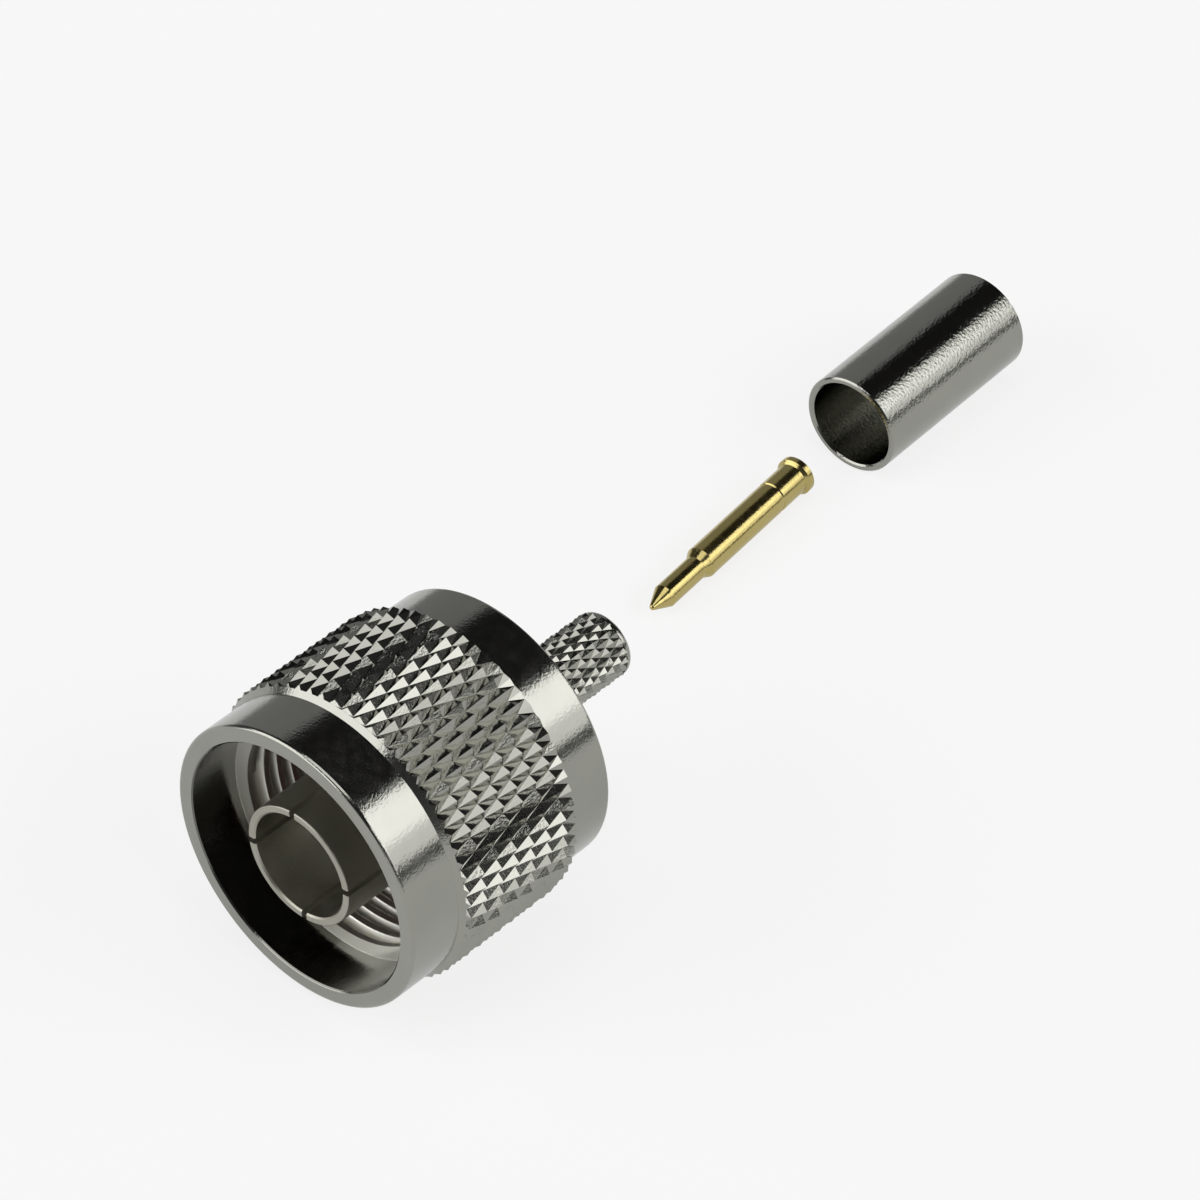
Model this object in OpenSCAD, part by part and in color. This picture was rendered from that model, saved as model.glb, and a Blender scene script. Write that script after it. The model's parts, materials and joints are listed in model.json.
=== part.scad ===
// N type plug for coaxial cable, crimp pattern, as a kit of three groups:
// the connector body with its coupling nut, the loose centre pin and the loose crimp ferrule.
// X runs along the connector from its mouth to its cable end, Z is up.
// The origin is the centre of the outer contact's open end. The kit lies on the plane under the nut.

/* [Coaxial interface] */
// Outside diameter of the slotted outer contact
contact_d = 8.05; // [7.6:0.05:8.4]
// Bore of the outer contact
contact_bore_d = 7; // [6.6:0.05:7.3]
// How far the outer contact's tip sits inside the nut's mouth
tip_setback = 0.3; // [0:0.1:1]
// Diameter of the outer contact where it is pressed into the body
contact_seat_d = 8.6; // [8.5:0.05:9]
// Length of the outer contact in front of the gasket
contact_reach = 9.2; // [8:0.1:10]
// Width of the four slots in the outer contact
slot_w = 0.4; // [0.2:0.05:0.8]
// Length of the four slots
slot_length = 6; // [4:0.25:7]
// Turn of the four slots about the contact's axis, in degrees
slot_turn = -5; // [-40:1:40]

/* [Coupling nut] */
// Length of the nut from mouth to rear face
nut_length = 16.95; // [16:0.05:19]
// Diameter of the smooth front collar
collar_d = 18.9; // [18.5:0.05:19.2]
// Length of the front collar up to the knurl
collar_length = 4.25; // [3:0.05:5]
// Diameter over the peaks of the knurl
knurl_d = 19.9; // [19.6:0.05:22]
// Length of the knurled band
knurl_length = 9.05; // [7:0.05:10]
// Depth of the knurl's grooves
knurl_depth = 0.38; // [0.2:0.02:0.5]
// Diamonds around the nut
knurl_count = 64; // [40:1:80]
// Half the length of one diamond on the nut
knurl_half = 1.355; // [0.9:0.005:1.8]
// Diameter of the smooth rear collar
rear_collar_d = 18.15; // [17:0.05:18.6]
// Width of the groove between the knurl and the rear collar
rear_groove_w = 0.25; // [0.1:0.05:0.5]
// Bore of the plain mouth in front of the thread
mouth_d = 16.65; // [16.3:0.05:17.2]
// Depth of the plain mouth
mouth_depth = 3.6; // [2:0.1:4.5]
// Inside diameter over the thread's crests
thread_crest_d = 14.9; // [14.6:0.05:15.1]
// Inside diameter at the thread's roots
thread_root_d = 15.95; // [15.8:0.05:16.2]
// Width of the full lip where the thread starts
thread_lip = 0.35; // [0.2:0.05:0.6]

/* [Connector body] */
// Diameter of the flange that the nut pulls on
flange_d = 14.4; // [14:0.1:14.8]
// Thickness of the flange
flange_t = 1.4; // [1:0.1:2]
// Diameter of the neck that the nut turns on
neck_d = 12; // [11:0.1:12.6]
// Radial running clearance between the neck and the nut
neck_clearance = 0.05; // [0.02:0.01:0.09]
// How far the neck stands out behind the nut
neck_overhang = 0.85; // [0.4:0.05:1.4]
// Wall between the insulator and the cable end
back_wall = 0.8; // [0.5:0.1:1.5]
// Thickness of the gasket
gasket_t = 0.8; // [0.5:0.1:1.2]
// Outside diameter of the gasket
gasket_d = 13.6; // [12:0.1:14]

/* [Snap ring] */
// Radial thickness of the ring
ring_t = 1.2; // [0.9:0.05:1.4]
// Axial width of the ring
ring_w = 0.8; // [0.5:0.05:1]
// Clearance between the ring and its two grooves
ring_clearance = 0.1; // [0.05:0.01:0.15]
// Opening in the ring, in degrees
ring_gap = 30; // [10:5:60]

/* [Crimp stem] */
// Diameter over the peaks of the stem's knurl
stem_d = 4.45; // [4.2:0.05:5]
// Depth of the stem's knurl
stem_knurl_depth = 0.18; // [0.1:0.02:0.3]
// Diamonds around the stem
stem_knurl_count = 20; // [14:1:26]
// Half the length of one diamond on the stem
stem_knurl_half = 0.62; // [0.4:0.01:0.9]
// Length of the stem behind the neck
stem_length = 8.8; // [7:0.1:12]
// Smooth rounded end of the stem
stem_nose = 0.5; // [0.4:0.05:1]
// Bore for the cable's dielectric
cable_bore_d = 3.2; // [2.8:0.1:3.4]

/* [Insulator] */
// Diameter of the insulator behind the shoulder in the outer contact
insulator_d = 7.4; // [7.35:0.05:7.6]
// Length of the insulator
insulator_length = 10; // [8:0.1:12]
// Clearance around the fitted centre pin
pin_clearance = 0.02; // [0.01:0.01:0.06]

/* [Centre pin] */
// Length of the pin
pin_length = 15.9; // [15:0.1:17]
// Diameter of the mating tip
pin_tip_d = 1.6; // [1.5:0.02:1.7]
// Length of the mating tip with its point
pin_tip_length = 4.75; // [4:0.05:5.5]
// Length of the conical point
pin_point_length = 1.45; // [1:0.05:2]
// Diameter of the shank
pin_shank_d = 2.17; // [2:0.01:2.4]
// Diameter of the flange at the cup
pin_flange_d = 2.6; // [2.45:0.05:3]
// Thickness of the flange
pin_flange_t = 0.6; // [0.4:0.05:1]
// Length of the crimp barrel behind the neck line, flange included
pin_barrel_length = 2.9; // [2.4:0.05:4]
// Bore of the cup for the cable's centre wire
pin_cup_d = 1.16; // [1:0.02:1.3]
// Depth of the cup
pin_cup_depth = 5; // [4:0.1:6]

/* [Crimp ferrule] */
// Inside diameter of the ferrule
ferrule_bore_d = 6; // [5.4:0.1:6.5]
// Wall of the ferrule
ferrule_wall = 0.45; // [0.3:0.05:0.7]
// Length of the ferrule
ferrule_length = 14; // [11:0.25:16]

/* [Layout] */
// Place of the pin's point along the connector
pin_x = 37.9; // [34:0.1:42]
// Place of the pin's point across the connector
pin_y = 6.8; // [4:0.1:9]
// Turn of the pin on the table, in degrees
pin_turn = 5.6; // [0:0.2:8]
// Place of the ferrule's near end along the connector
ferrule_x = 57.6; // [57:0.1:62]
// Place of the ferrule's near end across the connector
ferrule_y = 7.4; // [4:0.1:9]
// Turn of the ferrule on the table, in degrees
ferrule_turn = 3; // [0:0.2:8]

/* [Hidden] */
$fn = 96;

fine = 0.1;                  // small broken edge
edge = 0.25;                 // rounded outer edge of the nut
axial_play = 0.1;            // play between the flange and the nut's shoulder
floor_z = -knurl_d / 2;      // the table that the kit lies on

// stations along the connector, from its mouth to its cable end
nut_x = -tip_setback;
flange_x = contact_reach + gasket_t;
flange_end_x = flange_x + flange_t;
shoulder_x = flange_end_x + axial_play;
nut_end_x = nut_x + nut_length;
neck_end_x = nut_end_x + neck_overhang;
insulator_end_x = neck_end_x - back_wall;
insulator_x = insulator_end_x - insulator_length;
ring_x = (shoulder_x + nut_end_x - ring_w) / 2;
contact_end_x = (ring_x + flange_end_x) / 2;
stem_end_x = neck_end_x + stem_length;

// the snap ring sits half in the neck and half in the nut
nut_bore_r = neck_d / 2 + neck_clearance;
ring_mid_r = (neck_d / 2 + nut_bore_r) / 2;
ring_in_r = ring_mid_r - ring_t / 2;
ring_out_r = ring_mid_r + ring_t / 2;

// seat of the pin's flange in the insulator
pin_seat_depth = pin_flange_t + 0.4;
pin_step = (pin_shank_d - pin_tip_d) / 2;
pin_step_x = pin_tip_length + 2 * pin_step;
pin_neck_x = pin_length - pin_barrel_length;
pin_neck_depth = 0.07;
pin_nose_r = 0.22;
// a flanged pin lies with its flange and its front shoulder on the table
pin_tilt = atan((pin_flange_d - pin_shank_d) / 2 / (pin_length - pin_flange_t - pin_step_x));

// points of an arc in the profile plane, from angle a to angle b
function arc(centre, r, a, b, steps = 6) =
    [for (i = [0:steps]) centre + r * [cos(a + (b - a) * i / steps), sin(a + (b - a) * i / steps)]];

// a turned piece: a profile of [radius, place along X]
module turned(profile) {
    rotate([0, 90, 0])
        rotate_extrude()
            polygon(profile);
}

module tube(outer_d, inner_d, length) {
    turned([
        [inner_d / 2 + fine, 0], [outer_d / 2 - fine, 0], [outer_d / 2, fine],
        [outer_d / 2, length - fine], [outer_d / 2 - fine, length],
        [inner_d / 2 + fine, length], [inner_d / 2, length - fine], [inner_d / 2, fine]
    ]);
}

// Diamond knurl: a ring whose outside is a net of four-sided pyramids.
// The net has a point every half diamond. A pyramid peaks where u + v is even, and
// grooves cross where it is odd. Row 0 is the foot of a 45 degree chamfer that the grooves
// notch. The last row is cut off square at the band's end, or sinks to the grooves where
// run_out is true.
module knurl_band(peak_r, depth, inner_r, count, half_length, length, run_out) {
    columns = 2 * count;
    valley_r = peak_r - depth;
    rows = 1 + ceil((length - depth) / half_length);
    cut = (length - depth) / half_length - (rows - 2);
    function place(v) = v == 0 ? 0 : min(length, depth + (v - 1) * half_length);
    function peaks(u, v) = (u + v) % 2 == 0;
    function height(u, v) =
        v == 0 ? 0
        : v < rows ? (peaks(u, v) ? 1 : 0)
        : run_out ? 0
        : peaks(u, v) ? cut : 1 - cut;
    function ring_point(u, x, r) = [x, r * cos(180 * u / count - 90), r * sin(180 * u / count - 90)];
    function outer_at(u, v) = v * columns + u % columns;
    function inner_at(u, end) = (rows + 1 + end) * columns + u % columns;
    // each cell is split along its groove, and in the chamfer along the notch's edge
    function cell(u, v) = peaks(u, v) == (v == 0)
        ? [[outer_at(u, v), outer_at(u + 1, v + 1), outer_at(u + 1, v)],
           [outer_at(u, v), outer_at(u, v + 1), outer_at(u + 1, v + 1)]]
        : [[outer_at(u, v), outer_at(u, v + 1), outer_at(u + 1, v)],
           [outer_at(u + 1, v), outer_at(u, v + 1), outer_at(u + 1, v + 1)]];
    points = concat(
        [for (v = [0:rows], u = [0:columns - 1])
            ring_point(u, place(v), valley_r + depth * height(u, v))],
        [for (x = [0, length], u = [0:columns - 1]) ring_point(u, x, inner_r)]
    );
    faces = concat(
        [for (v = [0:rows - 1], u = [0:columns - 1], f = cell(u, v)) f],
        [for (u = [0:columns - 1])
            [inner_at(u, 0), inner_at(u + 1, 0), inner_at(u + 1, 1), inner_at(u, 1)]],
        [for (u = [0:columns - 1])
            [outer_at(u, 0), outer_at(u + 1, 0), inner_at(u + 1, 0), inner_at(u, 0)]],
        [for (u = [0:columns - 1])
            [outer_at(u, rows), inner_at(u, 1), inner_at(u + 1, 1), outer_at(u + 1, rows)]]
    );
    polyhedron(points, faces);
}

// Nut: mouth, thread zone, relief, and the rear wall that turns on the neck.
// The thread itself is a fine detail that is left to the finishing model.
module coupling_nut() {
    collar_r = collar_d / 2;
    core_r = knurl_d / 2 - knurl_depth - fine / 2;
    foot_r = knurl_d / 2 - knurl_depth + fine / 4;
    rear_r = rear_collar_d / 2;
    mouth_r = mouth_d / 2;
    crest_r = thread_crest_d / 2;
    root_r = thread_root_d / 2;
    ring_groove_r = ring_out_r + ring_clearance;
    knurl_x = nut_x + collar_length - knurl_depth;
    knurl_end_x = nut_x + collar_length + knurl_length;
    collar_end_x = nut_end_x - edge;
    lip_x = nut_x + mouth_depth;
    outside = concat(
        arc([collar_r - edge, nut_x + edge], edge, -90, 0),
        [[collar_r, knurl_x - foot_r + collar_r], [foot_r, knurl_x + fine / 4],
         [core_r, knurl_x + fine], [core_r, knurl_end_x],
         [rear_r - rear_groove_w, knurl_end_x], [rear_r - rear_groove_w, knurl_end_x + rear_groove_w / 2],
         [rear_r, knurl_end_x + rear_groove_w]],
        arc([rear_r - edge, collar_end_x], edge, 0, 90)
    );
    inside = [
        [nut_bore_r + fine, nut_end_x], [nut_bore_r, nut_end_x - fine],
        [nut_bore_r, ring_x + ring_w + ring_clearance], [ring_groove_r, ring_x + ring_w + ring_clearance],
        [ring_groove_r, ring_x - ring_clearance], [nut_bore_r, ring_x - ring_clearance],
        [nut_bore_r, shoulder_x + fine], [nut_bore_r + fine, shoulder_x],
        [root_r, shoulder_x], [root_r, lip_x + fine + thread_lip],
        [crest_r, lip_x + fine + thread_lip], [crest_r, lip_x + fine],
        [mouth_r, lip_x], [mouth_r, nut_x + fine], [mouth_r + fine, nut_x]
    ];
    color("silver") {
        turned(concat(outside, inside));
        translate([knurl_x, 0, 0])
            knurl_band(knurl_d / 2, knurl_depth, core_r - 3 * fine, knurl_count, knurl_half,
                       knurl_depth + knurl_length, false);
    }
}

// Body: flange, neck with the ring's groove, and the knurled crimp stem
module connector_body() {
    seat_r = contact_seat_d / 2;
    bore_r = insulator_d / 2;
    cable_r = cable_bore_d / 2;
    groove_r = ring_in_r - ring_clearance;
    stem_core_r = stem_d / 2 - stem_knurl_depth - fine / 4;
    nose_r = stem_d / 2 - fine / 2;
    knurl_x = neck_end_x + fine;
    knurl_end_x = stem_end_x - stem_nose;
    outside = concat(
        [[flange_d / 2 - fine, flange_x], [flange_d / 2, flange_x + fine],
         [flange_d / 2, flange_end_x], [neck_d / 2, flange_end_x],
         [neck_d / 2, ring_x - ring_clearance], [groove_r, ring_x - ring_clearance],
         [groove_r, ring_x + ring_w + ring_clearance],
         [neck_d / 2, ring_x + ring_w + ring_clearance],
         [neck_d / 2, neck_end_x - 2 * fine], [neck_d / 2 - 2 * fine, neck_end_x],
         [stem_core_r, neck_end_x], [stem_core_r, knurl_end_x], [nose_r, knurl_end_x]],
        arc([nose_r - stem_nose + fine, stem_end_x - stem_nose + fine], stem_nose - fine, 0, 90)
    );
    inside = [
        [cable_r + fine, stem_end_x], [cable_r, stem_end_x - fine],
        [cable_r, insulator_end_x], [bore_r, insulator_end_x],
        [bore_r, contact_end_x], [seat_r, contact_end_x], [seat_r, flange_x]
    ];
    color("silver") {
        turned(concat(outside, inside));
        translate([knurl_x, 0, 0])
            knurl_band(stem_d / 2, stem_knurl_depth, stem_core_r - fine, stem_knurl_count,
                       stem_knurl_half, knurl_end_x - knurl_x + fine / 2, true);
    }
}

// Outer contact: a sleeve pressed into the body, slotted into four spring fingers.
// A shoulder in its bore holds the insulator, which goes in from the back.
module outer_contact() {
    color("gainsboro")
        difference() {
            turned(concat(
                arc([contact_d / 2 - fine, fine], fine, -90, 0),
                [[contact_d / 2, contact_reach], [contact_seat_d / 2, contact_reach],
                 [contact_seat_d / 2, contact_end_x], [insulator_d / 2, contact_end_x],
                 [insulator_d / 2, insulator_x], [contact_bore_d / 2, insulator_x],
                 [contact_bore_d / 2, fine], [contact_bore_d / 2 + fine, 0]]
            ));
            for (turn = [0, 90])
                rotate([turn + slot_turn, 0, 0])
                    translate([-1, -contact_d, -slot_w / 2])
                        cube([1 + slot_length, 2 * contact_d, slot_w]);
        }
}

module gasket() {
    color("darkred")
        translate([flange_x - gasket_t, 0, 0])
            tube(gasket_d, contact_seat_d + fine, gasket_t);
}

module snap_ring() {
    color("silver")
        rotate([180 - ring_gap / 2, 0, 0])
            rotate([0, 90, 0])
                rotate_extrude(angle = 360 - ring_gap)
                    translate([ring_in_r, ring_x])
                        square([ring_t, ring_w]);
}

// Insulator: the seat of the centre pin, stepped at the back for the pin's flange
module insulator() {
    hole_r = pin_shank_d / 2 + pin_clearance;
    seat_r = pin_flange_d / 2 + pin_clearance;
    seat_x = insulator_end_x - pin_seat_depth;
    color("white")
        turned([
            [hole_r, insulator_x], [insulator_d / 2, insulator_x], [insulator_d / 2, insulator_end_x],
            [seat_r, insulator_end_x], [seat_r, seat_x], [hole_r, seat_x]
        ]);
}

// Centre pin: pointed tip, shank, crimp barrel with a flanged and countersunk cup
module centre_pin() {
    tip_r = pin_tip_d / 2;
    shank_r = pin_shank_d / 2;
    flange_r = pin_flange_d / 2;
    flange_x = pin_length - pin_flange_t;
    cup_r = pin_cup_d / 2;
    sink_r = flange_r - 3 * fine;
    point_rise = atan((tip_r - pin_nose_r) / pin_point_length);
    lie_z = flange_r * cos(pin_tilt) - flange_x * sin(pin_tilt);
    color("gold")
        translate([pin_x, pin_y, floor_z + lie_z])
            rotate([0, -pin_tilt, pin_turn])
                turned(concat(
                    [[0, 0]],
                    arc([0, pin_nose_r], pin_nose_r, -60, -point_rise),
                    [[tip_r, pin_point_length], [tip_r, pin_tip_length], [shank_r, pin_step_x],
                     [shank_r, pin_neck_x - 5 * pin_neck_depth],
                     [shank_r - pin_neck_depth, pin_neck_x - 4 * pin_neck_depth],
                     [shank_r - pin_neck_depth, pin_neck_x - pin_neck_depth],
                     [shank_r, pin_neck_x],
                     [shank_r, flange_x - fine], [flange_r - fine, flange_x], [flange_r, flange_x + fine],
                     [flange_r, pin_length - fine], [flange_r - fine, pin_length],
                     [sink_r, pin_length], [cup_r, pin_length - sink_r + cup_r],
                     [cup_r, pin_length - pin_cup_depth], [0, pin_length - pin_cup_depth - cup_r / 2]]
                ));
}

module crimp_ferrule() {
    outer_d = ferrule_bore_d + 2 * ferrule_wall;
    color("silver")
        translate([ferrule_x, ferrule_y, floor_z + outer_d / 2])
            rotate([0, 0, ferrule_turn])
                tube(outer_d, ferrule_bore_d, ferrule_length);
}

coupling_nut();
connector_body();
outer_contact();
gasket();
snap_ring();
insulator();
centre_pin();
crimp_ferrule();
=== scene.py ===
# %% [markdown]
# # An N type crimp plug, laid out as a kit
#
# The solids come ready made from the CAD model. Here they get their plating, the nut gets its
# coupling thread, and a small studio is built around them.
#
# Everything is in metres. X runs from the connector's mouth to its cable end, Z is up, and the origin
# is the centre of the outer contact's open end. Sizes below are written in millimetres, times MM.

# %% Load the CAD model
import bpy
import json
import math
from mathutils import Euler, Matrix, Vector


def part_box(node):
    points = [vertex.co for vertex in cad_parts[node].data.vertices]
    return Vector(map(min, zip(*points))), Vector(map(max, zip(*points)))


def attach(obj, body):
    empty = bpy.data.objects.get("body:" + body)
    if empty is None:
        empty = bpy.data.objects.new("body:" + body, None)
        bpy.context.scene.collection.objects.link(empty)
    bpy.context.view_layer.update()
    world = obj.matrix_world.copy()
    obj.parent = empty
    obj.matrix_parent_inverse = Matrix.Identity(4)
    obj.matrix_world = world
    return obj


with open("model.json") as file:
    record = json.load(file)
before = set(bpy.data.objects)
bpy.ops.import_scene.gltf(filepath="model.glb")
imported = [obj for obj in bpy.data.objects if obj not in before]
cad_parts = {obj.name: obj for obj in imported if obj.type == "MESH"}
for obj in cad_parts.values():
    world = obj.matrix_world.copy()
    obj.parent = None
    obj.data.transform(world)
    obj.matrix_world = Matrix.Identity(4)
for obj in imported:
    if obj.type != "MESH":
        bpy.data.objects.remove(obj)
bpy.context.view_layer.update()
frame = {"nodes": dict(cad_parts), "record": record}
MM = 0.001
nut_low, nut_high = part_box("coupling_nut")
mounts = {mount["name"]: mount for mount in frame["record"]["mounts"]}
print("mating features:", sorted(mounts))

# %% [markdown]
# ## Where to stand
#
# A metal part with many small facets looks best a little from above and from the front corner, where
# the mouth, the knurl and the crimp stem all show. A long lens shows the far ferrule and the near
# nut at almost the same scale. It could also be framed by hand, but a look-at point, a direction and
# a distance are easier to change later.

# %% Camera
VIEW_AZIMUTH = math.radians(-47.651)
VIEW_ELEVATION = math.radians(41.248)
VIEW_DISTANCE = 367.6 * MM
LOOK_AT = Vector((28.8, 2.8, 0.0)) * MM
LENS = 183.1
SENSOR = 36.0

towards_camera = Vector((
    math.sin(VIEW_AZIMUTH) * math.cos(VIEW_ELEVATION),
    -math.cos(VIEW_AZIMUTH) * math.cos(VIEW_ELEVATION),
    math.sin(VIEW_ELEVATION),
))
camera = bpy.data.objects.new("kit_camera", bpy.data.cameras.new("kit_camera"))
bpy.context.scene.collection.objects.link(camera)
camera.data.lens = LENS
camera.data.sensor_width = SENSOR
camera.data.clip_start = 10 * MM
camera.data.clip_end = 20.0
camera.location = LOOK_AT + towards_camera * VIEW_DISTANCE
camera.rotation_euler = Euler((math.pi / 2 - VIEW_ELEVATION, 0.0, VIEW_AZIMUTH))
bpy.context.scene.camera = camera
print("camera stands at, in mm:", [round(v / MM, 1) for v in camera.location])

# %% [markdown]
# ## Nodes without the noise
#
# Each finish below is a small web of shader nodes. Written out in full, every node takes four or
# five lines, and the recipe drowns in them. So one helper adds a node with its settings, and two
# short ones built on it do sums and blend colours. The Mix node has many sockets, of which only the
# three named here are for colours.

# %% Node helpers
COLOUR_A, COLOUR_B, COLOUR_OUT = 6, 7, 2


def add(web, kind, inputs=None, **settings):
    """A new node. Each input is given a plain value, or the socket that feeds it."""
    node = web.nodes.new(kind)
    for name, value in settings.items():
        setattr(node, name, value)
    for name, value in (inputs or {}).items():
        if isinstance(value, bpy.types.NodeSocket):
            web.links.new(value, node.inputs[name])
        else:
            node.inputs[name].default_value = value
    return node


def number(web, operation, *values):
    return add(web, "ShaderNodeMath", dict(enumerate(values)), operation=operation).outputs[0]


def blend(web, factor, first, second):
    colours = {"Factor": factor, COLOUR_A: first, COLOUR_B: second}
    return add(web, "ShaderNodeMix", colours, data_type="RGBA").outputs[COLOUR_OUT]


# %% [markdown]
# ## Grains and bumps
#
# Every finish here is made of the same two things: soft random grains, and a bump that turns them
# into height. Real displacement would show in the outline too, but these marks are at most a few
# hundredths of a millimetre deep, so tilting the shading is enough. Sizes and depths are given in
# metres, so that a finish keeps its scale on every piece.

# %% Grains, bumps and fresh materials
def grains(web, where, size, detail):
    """Soft random values around a half, with grains of about the given size."""
    inputs = {"Vector": where, "Scale": 1 / size, "Detail": detail}
    return add(web, "ShaderNodeTexNoise", inputs).outputs[0]


def bump(web, height, depth, under=None):
    inputs = {"Height": height, "Strength": 1.0, "Distance": depth}
    if under is not None:
        inputs["Normal"] = under
    return add(web, "ShaderNodeBump", inputs).outputs[0]


def fresh_material(name):
    material = bpy.data.materials.new(name)
    material.use_nodes = True
    web = material.node_tree
    return material, web, web.nodes["Principled BSDF"]


# %% [markdown]
# ## The way a lathe sees it
#
# On a lathe every mark runs around the piece, so the useful coordinates are the distance along the
# axis and the distance from it. A texture that reads only those two is the same all the way round,
# as turning marks are. A wave texture in rings could do it too, but its rings are too even for the
# marks of a tool.

# %% Lathe coordinates
def lathe_coordinates(web, place=(0, 0, 0), turn=(0, 0, 0)):
    """The piece's own coordinates, and the same folded to (along the axis, out from the axis)."""
    where = add(web, "ShaderNodeTexCoord")
    own = add(web, "ShaderNodeMapping", {"Vector": where.outputs["Object"], "Location": place,
                                         "Rotation": turn}, vector_type="TEXTURE").outputs[0]
    split = add(web, "ShaderNodeSeparateXYZ", {"Vector": own})
    across = add(web, "ShaderNodeCombineXYZ", {"Y": split.outputs["Y"], "Z": split.outputs["Z"]})
    out = add(web, "ShaderNodeVectorMath", {0: across.outputs[0]}, operation="LENGTH")
    folded = add(web, "ShaderNodeCombineXYZ", {"X": split.outputs["X"], "Y": out.outputs["Value"]})
    return own, folded.outputs[0]


# %% [markdown]
# ## Nickel plating
#
# The nut, the body and the ferrule are brass, turned, tumbled and nickel plated. The plating is
# bright but not a mirror: it is a little warm in colour, it follows the turning marks under it, and
# tumbling leaves it faintly dimpled, so the edge between a light and a dark reflection breaks up
# into specks.
#
# One recipe serves all plated pieces. The bump adds two heights: rings from the lathe coordinates
# and dimples from a plain noise. The roughness wanders a little, as handled metal does. Painting
# the reflections into the colour would be quicker, but they would not move with the light.

# %% Plated metal
PATCH_SIZE = 3 * MM
TOUCH_SIZE = 0.6 * MM
TOUCH_SPREAD = (0.3, 0.7)


def plated(name, shades, roughness, rings, dimples, place=(0, 0, 0), turn=(0, 0, 0)):
    """Rings and dimples are each given as a size across and a height, in metres."""
    material, web, metal = fresh_material(name)
    own, folded = lathe_coordinates(web, place, turn)
    metal.inputs["Metallic"].default_value = 1.0

    # colour: two close shades in soft patches
    patches = grains(web, own, PATCH_SIZE, 3.0)
    web.links.new(blend(web, patches, shades[0], shades[1]), metal.inputs["Base Color"])

    # roughness: handling marks of about half a millimetre, down to specks
    touch = grains(web, own, TOUCH_SIZE, 6.0)
    gloss = add(web, "ShaderNodeMapRange", {
        "Value": touch, "From Min": TOUCH_SPREAD[0], "From Max": TOUCH_SPREAD[1],
        "To Min": roughness[0], "To Max": roughness[1],
    })
    web.links.new(gloss.outputs[0], metal.inputs["Roughness"])

    # height: lathe rings, then dimples on top of them
    ringed = bump(web, grains(web, folded, rings[0], 2.0), rings[1])
    dimpled = bump(web, grains(web, own, dimples[0], 3.0), dimples[1], ringed)
    web.links.new(dimpled, metal.inputs["Normal"])
    return material


# %% [markdown]
# ## The nut's nickel
#
# The nut has fine turning marks and shallow dimples. Its two shades are only a little apart: much
# further, and the metal would look stained. They could be as light as clean nickel, but over a pale
# table the knurl's facets would then all look white, so they are darker.

# %% The nut's finish
NICKEL = ((0.36, 0.36, 0.325, 1), (0.31, 0.31, 0.28, 1))
FINE_TURNING = (0.12 * MM, 0.001 * MM)
nickel_nut = plated("nickel_nut", NICKEL, roughness=(0.10, 0.16),
                    rings=FINE_TURNING, dimples=(0.16 * MM, 0.008 * MM))
print("recipe of", nickel_nut.name, "has", len(nickel_nut.node_tree.nodes), "nodes")

# %% [markdown]
# ## Stem and contact
#
# The body with its crimp stem is a touch softer in its shine than the nut. The outer contact is
# duller and warmer, and keeps coarser turning marks. Both use the nut's recipe with other numbers,
# so that the whole connector still looks like one metal.

# %% Stem and contact finishes
nickel_stem = plated("nickel_stem", NICKEL, roughness=(0.12, 0.18),
                     rings=FINE_TURNING, dimples=(0.16 * MM, 0.006 * MM))
DULL_NICKEL = ((0.44, 0.43, 0.37, 1), (0.35, 0.34, 0.285, 1))
nickel_contact = plated("nickel_contact", DULL_NICKEL, roughness=(0.32, 0.46),
                        rings=(0.08 * MM, 0.006 * MM), dimples=(0.2 * MM, 0.004 * MM))
print("finishes:", nickel_stem.name, nickel_contact.name)

# %% [markdown]
# ## Inside the nut
#
# The wall of the plain mouth is given a much darker colour than the nut's nickel. This is painted
# shade, for the dark inside of the nut that the wall reflects. The lip behind it and the thread keep
# the fine marks of the forming tool, which scatter the light, so they are given a rougher finish, and
# a near white colour that is painted light. Two masks on the nut's material do this: one for being
# inside the front bore, one for the depth along it. A second material would need the solid's faces
# to be sorted by hand.

# %% Mouth and lip finish, with painted shade and painted light
# the mouth's wall is at 8.325 mm, and the bore ends where the gasket sits
BORE_R = 8.4 * MM
BORE_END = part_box("gasket")[1].x
# a hair before the lip's flat face, so that the face itself is safely behind it
LIP_X = nut_low.x + 3.6 * MM
HAIR = 0.01 * MM
# painted shade: the mouth's wall is made dark for the dark inside that it reflects
MOUTH_PAINTED_SHADE = (0.15, 0.15, 0.135, 1)
# painted light: the lip is made near white for the light that it catches
LIP_PAINTED_LIGHT = (0.92, 0.91, 0.85, 1)
LIP_ROUGHNESS = 0.25

web = nickel_nut.node_tree
metal = web.nodes["Principled BSDF"]
own, folded = lathe_coordinates(web)
split = add(web, "ShaderNodeSeparateXYZ", {"Vector": folded})
within = number(web, "LESS_THAN", split.outputs["Y"], BORE_R)
in_front = number(web, "LESS_THAN", split.outputs["X"], BORE_END)
in_bore = number(web, "MULTIPLY", within, in_front)
behind = number(web, "GREATER_THAN", split.outputs["X"], LIP_X - HAIR)

outside_tone = metal.inputs["Base Color"].links[0].from_socket
# painted shade in the mouth and painted light on the lip, over the nut's own nickel outside the bore
bore_painted_shade_and_light = blend(web, behind, MOUTH_PAINTED_SHADE, LIP_PAINTED_LIGHT)
web.links.new(blend(web, in_bore, outside_tone, bore_painted_shade_and_light), metal.inputs["Base Color"])

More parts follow.
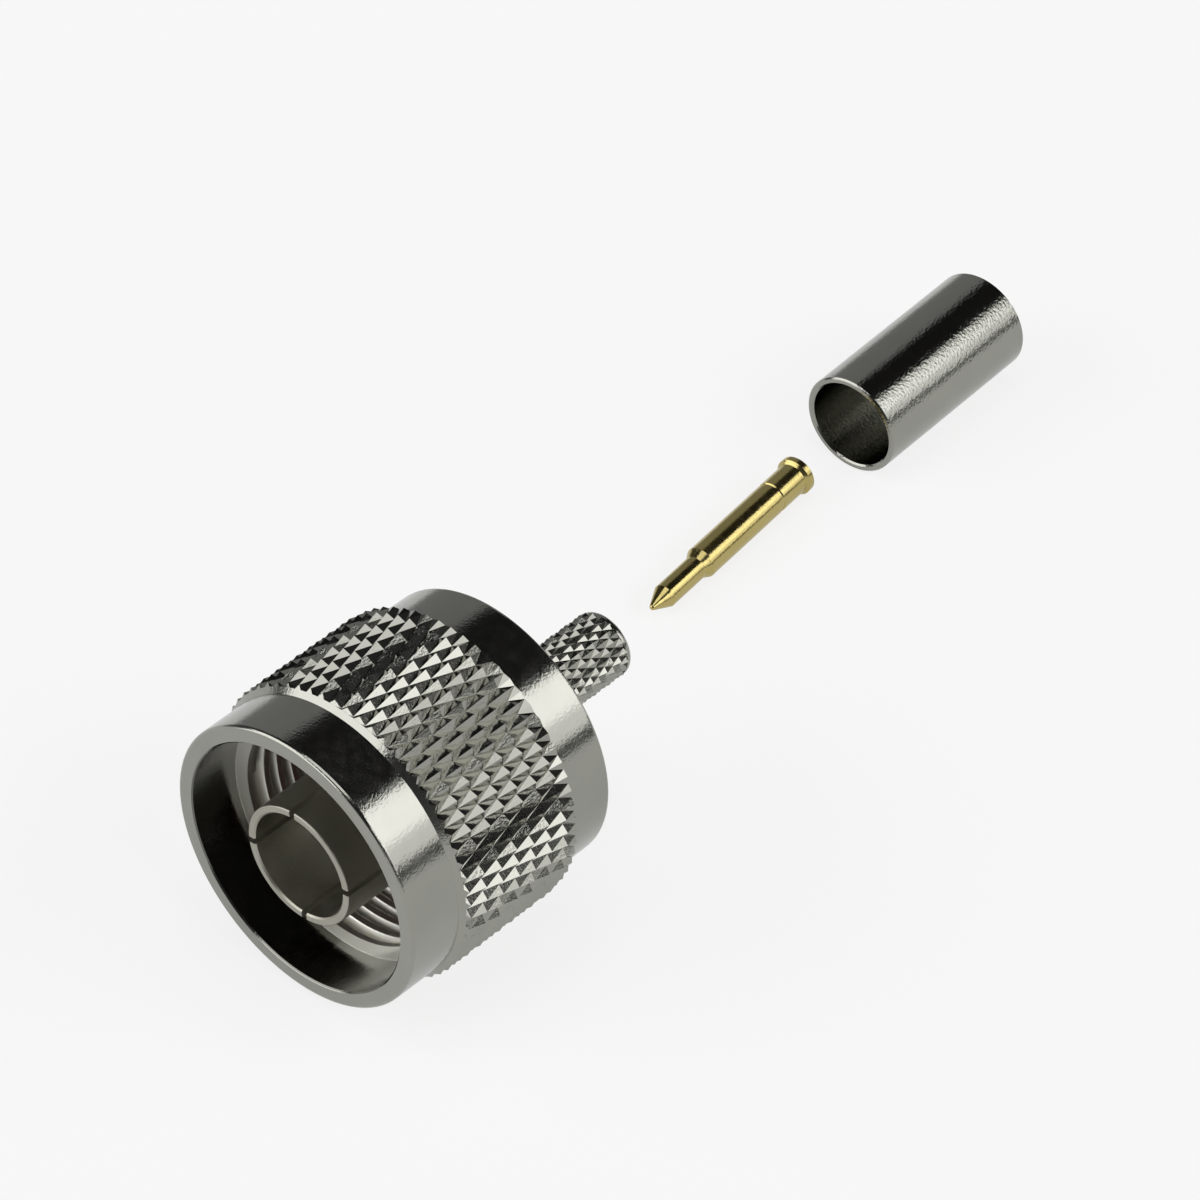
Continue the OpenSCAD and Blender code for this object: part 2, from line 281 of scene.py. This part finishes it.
smooth = metal.inputs["Roughness"].links[0].from_socket
brushed = number(web, "MULTIPLY", in_bore, behind)
web.links.new(number(web, "MULTIPLY_ADD", brushed, LIP_ROUGHNESS, smooth), metal.inputs["Roughness"])
print("the bright lip starts", round((LIP_X - nut_low.x) / MM, 2), "mm behind the mouth")

# %% [markdown]
# ## Where the loose pieces lie
#
# The pin and the ferrule lie turned and a little tilted on the table, so their turning marks have
# to follow their own axes. The places could be typed in again, but then they would go wrong when
# the CAD layout changes. The record's mating features give a point and a direction on each piece.

# %% Axes of the loose pieces
def lathe_axis(mount_name):
    """A point on a turned piece's axis, and the turn that lays X along that axis."""
    feature = mounts[mount_name]
    along = Vector(feature["axis"])
    return Vector(feature["pos_m"]), along.to_track_quat("X", "Z").to_euler()


PIN_PLACE, PIN_TURN = lathe_axis("pin_cup")
FERRULE_PLACE, FERRULE_TURN = lathe_axis("ferrule_bore")
print("point on the pin's axis, in mm:", [round(v / MM, 1) for v in PIN_PLACE])
print("point on the ferrule's axis, in mm:", [round(v / MM, 1) for v in FERRULE_PLACE])

# %% [markdown]
# ## Ferrule and pin
#
# The ferrule is a plain thin tube. It has the sharpest shine and the deepest dimples of all, so the
# light breaks up into specks along its top.
#
# The centre pin is gold over brass, because gold doesn't tarnish and keeps the contact good. Thin
# gold over fine turning looks like a soft, slightly green yellow. The usual gold preset would be
# too orange, so the two shades are set here, and the rest is the same recipe.

# %% Ferrule and pin finishes
nickel_ferrule = plated("nickel_ferrule", NICKEL, roughness=(0.07, 0.13),
                        rings=FINE_TURNING, dimples=(0.18 * MM, 0.02 * MM),
                        place=FERRULE_PLACE, turn=FERRULE_TURN)
GOLD = ((0.54, 0.45, 0.18, 1), (0.46, 0.375, 0.14, 1))
gold_pin = plated("gold_pin", GOLD, roughness=(0.14, 0.22),
                  rings=(0.15 * MM, 0.002 * MM), dimples=(0.15 * MM, 0.006 * MM),
                  place=PIN_PLACE, turn=PIN_TURN)
print("finishes:", nickel_ferrule.name, gold_pin.name)

# %% [markdown]
# ## Soft parts inside
#
# The insulator is white PTFE: waxy and never glossy. The gasket is dark red silicone rubber, matt
# with a dusty sheen. Both are given a fine grain and no rings. It could be two textures, but one
# noise gives the grain its tone and its height together, and each raised grain is a little darker.

# %% PTFE and silicone
GRAIN_SHADE = 0.8


def moulded(name, colour, roughness, grain_size, grain_height):
    material, web, skin = fresh_material(name)
    own, folded = lathe_coordinates(web)
    grain = grains(web, own, grain_size, 4.0)
    shaded = [GRAIN_SHADE * c for c in colour]
    web.links.new(blend(web, grain, (*colour, 1), (*shaded, 1)), skin.inputs["Base Color"])
    web.links.new(bump(web, grain, grain_height), skin.inputs["Normal"])
    skin.inputs["Roughness"].default_value = roughness
    return material


ptfe = moulded("ptfe", (0.90, 0.90, 0.87), 0.45, 0.4 * MM, 0.004 * MM)
silicone = moulded("silicone", (0.07, 0.009, 0.006), 0.6, 0.2 * MM, 0.01 * MM)
print("finishes:", ptfe.name, silicone.name)

# %% [markdown]
# ## Dress the pieces
#
# The CAD solids arrive with one plain material each. They could be painted one by one in the
# editor, but a list of piece and finish is quicker to read and to change. Only the material slots
# are filled, so every solid keeps its shape and its place.

# %% Dress the CAD pieces
finishes = {
    "coupling_nut": nickel_nut,
    "connector_body": nickel_stem,
    "snap_ring": nickel_stem,
    "outer_contact": nickel_contact,
    "crimp_ferrule": nickel_ferrule,
    "centre_pin": gold_pin,
    "insulator": ptfe,
    "gasket": silicone,
}
for piece_name, finish in finishes.items():
    for material_slot in frame["nodes"][piece_name].material_slots:
        material_slot.material = finish
print("dressed:", sorted(finishes))

# %% [markdown]
# ## The coupling thread
#
# Inside the nut, behind the plain mouth, a right-handed thread of 24 turns to the inch screws onto
# the jack. The CAD nut has the bore at the thread's root and the full lip in front of it. The ridge
# between them is a long ramp wound round the bore, so it is swept here point by point: a trapezoid
# with 60 degree flanks, carried along a helix, and sunk to nothing at its inner end. A screw
# modifier would do the same, but plain points make the taper easy.

# %% The thread's section
PITCH = 25.4 / 24 * MM
CREST_R = 7.45 * MM
ROOT_R = 8.0 * MM
THREAD_START = nut_low.x + 4.2 * MM
THREAD_END = nut_low.x + 9.4 * MM
TAPER_TURNS = 0.35
STEPS = 96
HALF_CREST = 0.21 * MM
CREST_ROUND = 0.05 * MM
SHOULDER = 0.92

depth = ROOT_R - CREST_R
half_base = HALF_CREST + depth * math.tan(math.radians(30))
section = [(-half_base, 0.0), (-HALF_CREST - CREST_ROUND, SHOULDER), (-HALF_CREST, 1.0),
           (HALF_CREST, 1.0), (HALF_CREST + CREST_ROUND, SHOULDER), (half_base, 0.0)]
print("thread ridge:", round(2 * half_base / MM, 2), "mm wide,", round(depth / MM, 2), "mm high")

# %% Sweep the thread
turns = (THREAD_END - THREAD_START) / PITCH
count = int(turns * STEPS)
points = []
for i in range(count + 1):
    t = i / STEPS
    rise = min(1.0, (count - i) / (STEPS * TAPER_TURNS))
    for along, height in section:
        radius = ROOT_R - depth * height * rise
        x = THREAD_START + PITCH * t + along
        points.append((x, radius * math.cos(2 * math.pi * t), radius * math.sin(2 * math.pi * t)))

n = len(section)
faces = []
for i in range(count):
    for k in range(n):
        a = i * n + k
        b = i * n + (k + 1) % n
        faces.append((a, b, b + n, a + n))
faces.append(tuple(range(n)))
faces.append(tuple(count * n + k for k in reversed(range(n))))
mesh = bpy.data.meshes.new("coupling_thread")
mesh.from_pydata(points, [], faces)
mesh.validate()
thread = bpy.data.objects.new("coupling_thread", mesh)
bpy.context.scene.collection.objects.link(thread)
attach(thread, "nut")
print("thread:", round(turns, 2), "turns,", len(faces), "faces")

# %% [markdown]
# ## The thread's finish and painted light
#
# The thread's crests are the brightest lines inside the nut. They keep the fine marks of the tool
# that cut them, so they scatter the light instead of showing one sharp reflection, which the nickel
# recipe gives with a high roughness. Their paleness is partly that scatter and partly painted light:
# their colour is far lighter than the nut's own nickel.

# %% Thread finish, with painted light
# painted light: these shades are far lighter than the nut's nickel, for the light the crests catch
THREAD_PAINTED_LIGHT_NICKEL = ((0.85, 0.84, 0.78, 1), (0.75, 0.74, 0.68, 1))
nickel_thread_painted_light = plated("nickel_thread_painted_light", THREAD_PAINTED_LIGHT_NICKEL, roughness=(0.36, 0.46),
                       rings=(0.1 * MM, 0.002 * MM), dimples=(0.2 * MM, 0.003 * MM))
mesh.materials.append(nickel_thread_painted_light)
print("thread wears", mesh.materials[0].name)

# %% [markdown]
# ## The chamfer before the knurl
#
# The nut's blank is chamfered before it is knurled, so that the wheels lead in. They cut the cone
# only where it stands high enough, and leave a smooth strip at its foot. The CAD knurl starts at the
# foot, so a thin cone ring is laid over the first third of a millimetre, and the short first teeth
# stand out behind it. It could be turned with a screw modifier, but a profile carried round in a
# loop is as short.

# %% Knurl chamfer
COLLAR_R = nut_high.z - 0.5 * MM
CHAMFER_X = nut_low.x + 3.72 * MM
CHAMFER = 0.31 * MM
RING_SIDES = 192

top = COLLAR_R + CHAMFER
buried = COLLAR_R - 0.5 * CHAMFER
back_x = CHAMFER_X + 1.7 * CHAMFER
back_r = COLLAR_R + 0.4 * CHAMFER
profile = [(CHAMFER_X, COLLAR_R), (CHAMFER_X + CHAMFER, top), (back_x, back_r),
           (back_x, buried), (CHAMFER_X, buried)]
n = len(profile)
points = []
faces = []
for i in range(RING_SIDES):
    angle = 2 * math.pi * i / RING_SIDES
    ahead = (i + 1) % RING_SIDES
    for k, (x, radius) in enumerate(profile):
        points.append((x, radius * math.cos(angle), radius * math.sin(angle)))
        up = (k + 1) % n
        faces.append((i * n + k, ahead * n + k, ahead * n + up, i * n + up))
mesh = bpy.data.meshes.new("knurl_chamfer")
mesh.from_pydata(points, [], faces)
mesh.validate()
mesh.materials.append(nickel_nut)
chamfer = bpy.data.objects.new("knurl_chamfer", mesh)
bpy.context.scene.collection.objects.link(chamfer)
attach(chamfer, "nut")
print("chamfer ring:", round((top - COLLAR_R) / MM, 2), "mm high,", len(faces), "faces")

# %% [markdown]
# ## Studio floor
#
# Bright metal shows what stands around it, so the studio is half of the finish. It starts with the
# table: a large pale sheet under the nut.
#
# Part of the sheet's light comes from a plain glow that only the camera and reflections see, so
# that it looks white and still keeps the shadows. More lamp light would also whiten it, but would
# burn out the metal.

# %% Floor
FLOOR_WIDE = 6.0
SHEET_WHITE = (0.92, 0.92, 0.92, 1)
GLOW_SEEN = 0.8
GLOW_MIRRORED = 0.45

bpy.ops.mesh.primitive_plane_add(size=FLOOR_WIDE, location=(0.0, 0.0, nut_low.z))
floor = bpy.context.object
floor.name = "floor"

sheet, web, surface = fresh_material("pale_sheet")
surface.inputs["Base Color"].default_value = SHEET_WHITE
surface.inputs["Roughness"].default_value = 1.0
surface.inputs["Specular IOR Level"].default_value = 0.0
glow = add(web, "ShaderNodeEmission", {"Color": (1, 1, 1, 1), "Strength": 1.0})
path = add(web, "ShaderNodeLightPath")
seen = number(web, "MULTIPLY", path.outputs["Is Camera Ray"], GLOW_SEEN)
mirrored = number(web, "MAXIMUM", path.outputs["Is Glossy Ray"], path.outputs["Is Transmission Ray"])
share = number(web, "MULTIPLY_ADD", mirrored, GLOW_MIRRORED, seen)
both = add(web, "ShaderNodeMixShader", {0: share, 1: surface.outputs[0], 2: glow.outputs[0]})
web.links.new(both.outputs[0], web.nodes["Material Output"].inputs["Surface"])
floor.data.materials.append(sheet)
print("floor lies at z, in mm:", round(nut_low.z / MM, 2))

# %% [markdown]
# ## Softboxes
#
# Going round the nut from behind to the front, its collars show a grey panel, then a dark room,
# then a bright softbox, then a thin dark gap, and then the pale floor. A softbox is a flat
# rectangle of even light. It could be placed and sized by eye in metres, but what matters to the
# metal is only the angles that the light fills.

def stand_around(thing, azimuth, elevation, distance):
    bpy.context.scene.collection.objects.link(thing)
    a = math.radians(azimuth)
    e = math.radians(elevation)
    out = Vector((math.cos(e) * math.cos(a), math.cos(e) * math.sin(a), math.sin(e)))
    thing.location = LOOK_AT + out * distance
    thing.rotation_euler = out.to_track_quat("Z", "Y").to_euler()
    thing.visible_camera = False


def span(angle, distance):
    """The length that fills an angle, seen from a distance."""
    return 2 * distance * math.tan(math.radians(angle / 2))


print("60 degrees at 700 mm take", round(span(60, 700)), "mm")

# %% [markdown]
# The right softbox makes the bright band along the collars, and its weaker foot lets that band fade
# before the dark gap over the floor. The left one lights the sides of the knurl's peaks that lean
# towards the mouth. The top one is the weakest but for the foot, and lifts what faces straight up.

# %% Softboxes
def softbox(name, azimuth, elevation, wide, tall, radiance, distance=0.7):
    lamp = bpy.data.lights.new(name, "AREA")
    lamp.shape = "RECTANGLE"
    lamp.size = span(wide, distance)
    lamp.size_y = span(tall, distance)
    lamp.energy = radiance * math.pi * lamp.size * lamp.size_y
    stand_around(bpy.data.objects.new(name, lamp), azimuth, elevation, distance)
    print(name, "power:", round(lamp.energy, 2), "W")


softbox("softbox_right", azimuth=-70, elevation=37, wide=62, tall=26, radiance=2.4)
softbox("softbox_right_foot", azimuth=-70, elevation=16.5, wide=62, tall=15, radiance=1.4)
softbox("softbox_left", azimuth=145, elevation=25, wide=60, tall=44, radiance=2.2)
softbox("softbox_top", azimuth=0, elevation=90, wide=40, tall=40, radiance=1.6)

# %% [markdown]
# ## Grey card
#
# The upper far side of the collars shows an even dark grey. A weak softbox can't give that, because
# reflections see through a lamp and add what lies behind it. A card that glows a little hides the
# room, so it gives one clean tone.

# %% Grey card
CARD_DISTANCE = 150 * MM
CARD_AZIMUTH = 50
CARD_ELEVATION = 20
CARD_WIDE = 44
CARD_TALL = 48
CARD_GLOW = 0.25

x = span(CARD_WIDE, CARD_DISTANCE) / 2
y = span(CARD_TALL, CARD_DISTANCE) / 2
mesh = bpy.data.meshes.new("grey_card")
mesh.from_pydata([(-x, -y, 0), (x, -y, 0), (x, y, 0), (-x, y, 0)], [], [(0, 1, 2, 3)])
card = bpy.data.objects.new("grey_card", mesh)
stand_around(card, CARD_AZIMUTH, CARD_ELEVATION, CARD_DISTANCE)

paper, web, surface = fresh_material("grey_paper")
surface.inputs["Base Color"].default_value = (0.05, 0.05, 0.05, 1)
surface.inputs["Roughness"].default_value = 1.0
surface.inputs["Emission Color"].default_value = (1, 1, 1, 1)
surface.inputs["Emission Strength"].default_value = CARD_GLOW
mesh.materials.append(paper)
print("grey card:", round(2 * x / MM), "by", round(2 * y / MM), "mm")

# %% [markdown]
# ## The room
#
# Overhead the room is nearly black, and it gets lighter towards the horizon, as walls do when light
# bounces off a white table. An even grey world would be simpler, but then the dark bands on the
# metal would turn grey and the whole piece would look like satin.

# %% The room
HORIZON, WALL, CEILING = 0.0, 0.04, 0.70
HORIZON_LIGHT, WALL_LIGHT, CEILING_LIGHT = 0.4, 0.13, 0.015


def grey(value):
    return (value, value, value, 1)


world = bpy.data.worlds.new("room")
bpy.context.scene.world = world
world.use_nodes = True
web = world.node_tree
where = add(web, "ShaderNodeTexCoord")
split = add(web, "ShaderNodeSeparateXYZ", {"Vector": where.outputs["Generated"]})
ramp = add(web, "ShaderNodeValToRGB", {"Fac": split.outputs["Z"]})
stops = ramp.color_ramp.elements
stops[0].position = HORIZON
stops[0].color = grey(HORIZON_LIGHT)
stops[1].position = CEILING
stops[1].color = grey(CEILING_LIGHT)
wall = stops.new(WALL)
wall.color = grey(WALL_LIGHT)
back = web.nodes["Background"]
web.links.new(ramp.outputs[0], back.inputs["Color"])
back.inputs["Strength"].default_value = 1.0
print("room's light from the horizon up:", [round(stop.color[0], 3) for stop in stops])

# %% [markdown]
# ## Colours as they are written
#
# The standard view shows each colour as its number says. The filmic views are kinder to very bright
# light, but they would grey the white table and flatten the metal.

# %% View
bpy.context.scene.view_settings.view_transform = "Standard"
print("view:", bpy.context.scene.view_settings.view_transform)
